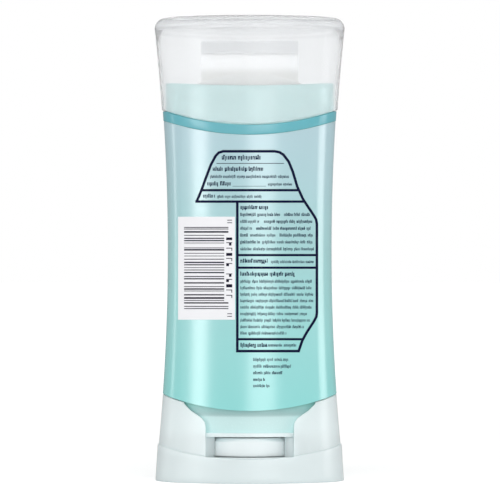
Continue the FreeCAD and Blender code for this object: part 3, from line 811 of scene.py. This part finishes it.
def make_thread(material):
    """The coarse thread of the spindle: a trapezoid rib that climbs round the core."""
    start = THREAD_FOOT - THREAD_LEAD / 2
    rib = ((CORE_RADIUS, -1.2), (THREAD_RADIUS, -0.6), (THREAD_RADIUS, 0.6), (CORE_RADIUS, 1.2))
    steps = int(THREAD_TURNS * 32)
    points = []
    for i in range(steps + 1):
        turn = 2 * math.pi * THREAD_TURNS * i / steps
        fade = min(1, i / 12, (steps - i) / 12)
        for radius, rise in rib:
            reach = CORE_RADIUS + (radius - CORE_RADIUS) * fade
            points.append((
                reach * math.cos(turn), reach * math.sin(turn),
                start + THREAD_LEAD * turn / (2 * math.pi) + rise * max(fade, 0.2),
            ))
    faces = tube_faces(steps + 1, 4, closed=False)
    faces += [(3, 2, 1, 0), tuple(4 * steps + k for k in range(4))]
    return mesh_piece("spindle_thread", points, faces, material)


# Stage


def make_camera():
    camera = bpy.data.cameras.new("camera")
    camera.sensor_width = 36
    camera.lens = camera.sensor_width * PIXELS_PER_SLOPE / PHOTO_SIZE
    camera.clip_start = 0.05
    camera.clip_end = 50
    holder = bpy.data.objects.new("camera", camera)
    offset = (250 - PHOTO_CENTRE[0]) * CAMERA_DISTANCE / PIXELS_PER_SLOPE
    holder.location = Vector((offset, -CAMERA_DISTANCE, CAMERA_HEIGHT)) * MM
    holder.rotation_euler = (math.pi / 2, 0, 0)
    bpy.context.scene.collection.objects.link(holder)
    bpy.context.scene.camera = holder


def seen_directly(nodes, links):
    """1 for what the camera sees, also through clear plastic, and 0 for all other light."""
    path = nodes.new("ShaderNodeLightPath")
    seen = nodes.new("ShaderNodeMath")
    seen.operation = "MAXIMUM"
    links.new(path.outputs["Is Camera Ray"], seen.inputs[0])
    links.new(path.outputs["Is Transmission Ray"], seen.inputs[1])
    return seen.outputs[0]


AMBIENT = 0.38


def make_world():
    """A plain surround: full white to the camera and through clear plastic, dimmer as light."""
    world = bpy.data.worlds.new("studio")
    bpy.context.scene.world = world
    world.use_nodes = True
    nodes, links = world.node_tree.nodes, world.node_tree.links
    background = nodes["Background"]
    background.inputs["Color"].default_value = (1, 1, 1, 1)
    seen = seen_directly(nodes, links)
    level = nodes.new("ShaderNodeMapRange")
    level.inputs["To Min"].default_value = AMBIENT
    level.inputs["To Max"].default_value = 1
    links.new(seen, level.inputs["Value"])
    links.new(level.outputs["Result"], background.inputs["Strength"])


def make_floor():
    """A wide pale floor that shows white and keeps the object's shadow."""
    material, nodes, links, shader = new_material("floor")
    shader.inputs["Base Color"].default_value = (0.8, 0.8, 0.8, 1)
    shader.inputs["Roughness"].default_value = 0.9
    shader.inputs["Emission Color"].default_value = (1, 1, 1, 1)
    seen = seen_directly(nodes, links)
    away = nodes.new("ShaderNodeVectorMath")
    away.operation = "LENGTH"
    links.new(object_place(nodes), away.inputs[0])
    level = nodes.new("ShaderNodeMapRange")
    level.inputs["From Min"].default_value = 0.2
    level.inputs["From Max"].default_value = 0.9
    level.inputs["To Min"].default_value = 0.5
    level.inputs["To Max"].default_value = 0.78
    links.new(away.outputs["Value"], level.inputs["Value"])
    lift = nodes.new("ShaderNodeMath")
    lift.operation = "MULTIPLY"
    links.new(seen, lift.inputs[0])
    links.new(level.outputs["Result"], lift.inputs[1])
    links.new(lift.outputs[0], shader.inputs["Emission Strength"])
    reach = 6000
    points = [(-reach, -reach, 0), (reach, -reach, 0), (reach, reach, 0), (-reach, reach, 0)]
    floor = mesh_piece("floor", points, [(0, 1, 2, 3)], material)


def soft_box(name, azimuth, distance, width, height, level, middle):
    """An upright area lamp that faces the object; azimuth 0 is the camera's side, 90 the right."""
    lamp = bpy.data.lights.new(name, "AREA")
    lamp.shape = "RECTANGLE"
    lamp.size = width * MM
    lamp.size_y = height * MM
    lamp.energy = level * width * height * MM * MM * math.pi
    holder = bpy.data.objects.new(name, lamp)
    turn = math.radians(azimuth)
    place = Vector((distance * math.sin(turn), -distance * math.cos(turn), middle)) * MM
    holder.location = place
    aim = Vector((0, 0, WAIST_HEIGHT * MM)) - place
    holder.rotation_euler = aim.to_track_quat("-Z", "Y").to_euler()
    bpy.context.scene.collection.objects.link(holder)


# The lamps: name, azimuth, distance, width, height, level and the height of the middle
LAMPS = (
    ("left_strip", -43, 700, 160, 450, 5.6, 110),
    ("front_strip", 10, 700, 280, 450, 3.1, 110),
    ("right_strip", 79, 700, 330, 450, 3.4, 110),
    ("left_edge", -95, 700, 100, 450, 2.6, 110),
    ("overhead", 0, 420, 1000, 600, 1.5, 800),
)


def main():
    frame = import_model()
    scene = bpy.context.scene
    scene.view_settings.view_transform = "Standard"
    make_camera()
    make_world()
    make_floor()
    for lamp in LAMPS:
        soft_box(*lamp)

    cap_frost = frosted_plastic("cap_frost", srgb(250, 251, 252), 0.18, 0.85)
    base_frost = milky_plastic("base_frost", srgb(234, 252, 254), 0.3, 4)
    ring_teal, _ = moulded_plastic("ring_teal", srgb(106, 180, 191), 0.22, sway=0.01, depth=0.001)
    barrel_teal, _ = moulded_plastic("barrel_teal", srgb(203, 232, 231), 0.25, sway=0.01)
    seal_cream = milky_plastic("seal_cream", srgb(232, 231, 229), 0.4, 2)
    product, product_shader = moulded_plastic(
        "product", srgb(240, 240, 234), 0.6, grain=300, depth=0.02
    )
    product_shader.inputs["Subsurface Weight"].default_value = 0.2
    product_shader.inputs["Subsurface Scale"].default_value = 0.002
    carrier_white, _ = moulded_plastic("carrier_white", srgb(240, 241, 241), 0.42)
    dial_white = milky_plastic("dial_white", srgb(238, 250, 252), 0.35, 4)
    navy = printing_ink("navy_ink", srgb(4, 17, 52))
    fine_navy = printing_ink("fine_ink", srgb(14, 36, 66))
    patch_white = printing_ink("patch_white", srgb(243, 243, 246))
    code_ink = printing_ink("code_ink", srgb(24, 20, 44))

    # The seal and the barrel get painted light and shade by height
    paint_light_by_height(seal_cream, SEAL_PAINTED_LIGHT_RAMP)
    paint_light_by_height(barrel_teal, BARREL_PAINTED_SHADE_RAMP)
    node_materials = {
        "inner_seal": seal_cream,
        "deodorant_stick": product,
        "platform": carrier_white,
        "dial": dial_white,
        "barrel": barrel_teal,
    }
    for node, material in node_materials.items():
        mesh = frame["nodes"][node].data
        mesh.materials.clear()
        mesh.materials.append(material)

    pieces = (
        (make_label(label_film()), "pack", "barrel_teal"),
        (make_band(ring_teal), "pack", "ring_teal"),
        (make_cap(cap_frost), "cap", "cap_frost"),
        (make_neck_lip(barrel_teal), "pack", "barrel_teal"),
        (make_base(base_frost), "pack", "base_frost"),
        (make_deck(base_frost), "pack", "base_frost"),
        (make_panel_print(navy), "pack", "barrel_teal"),
        (make_small_print(fine_navy), "pack", "barrel_teal"),
        (make_code_patch(patch_white), "pack", "barrel_teal"),
        (make_code_bars(code_ink), "pack", "barrel_teal"),
        (make_thread(dial_white), "dial_wheel", "dial_white"),
    )
    for piece, body, slot in pieces:
        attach(piece, body)
    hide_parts("shoulder_ring")
    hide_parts("over_cap")
    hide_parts("base")


main()
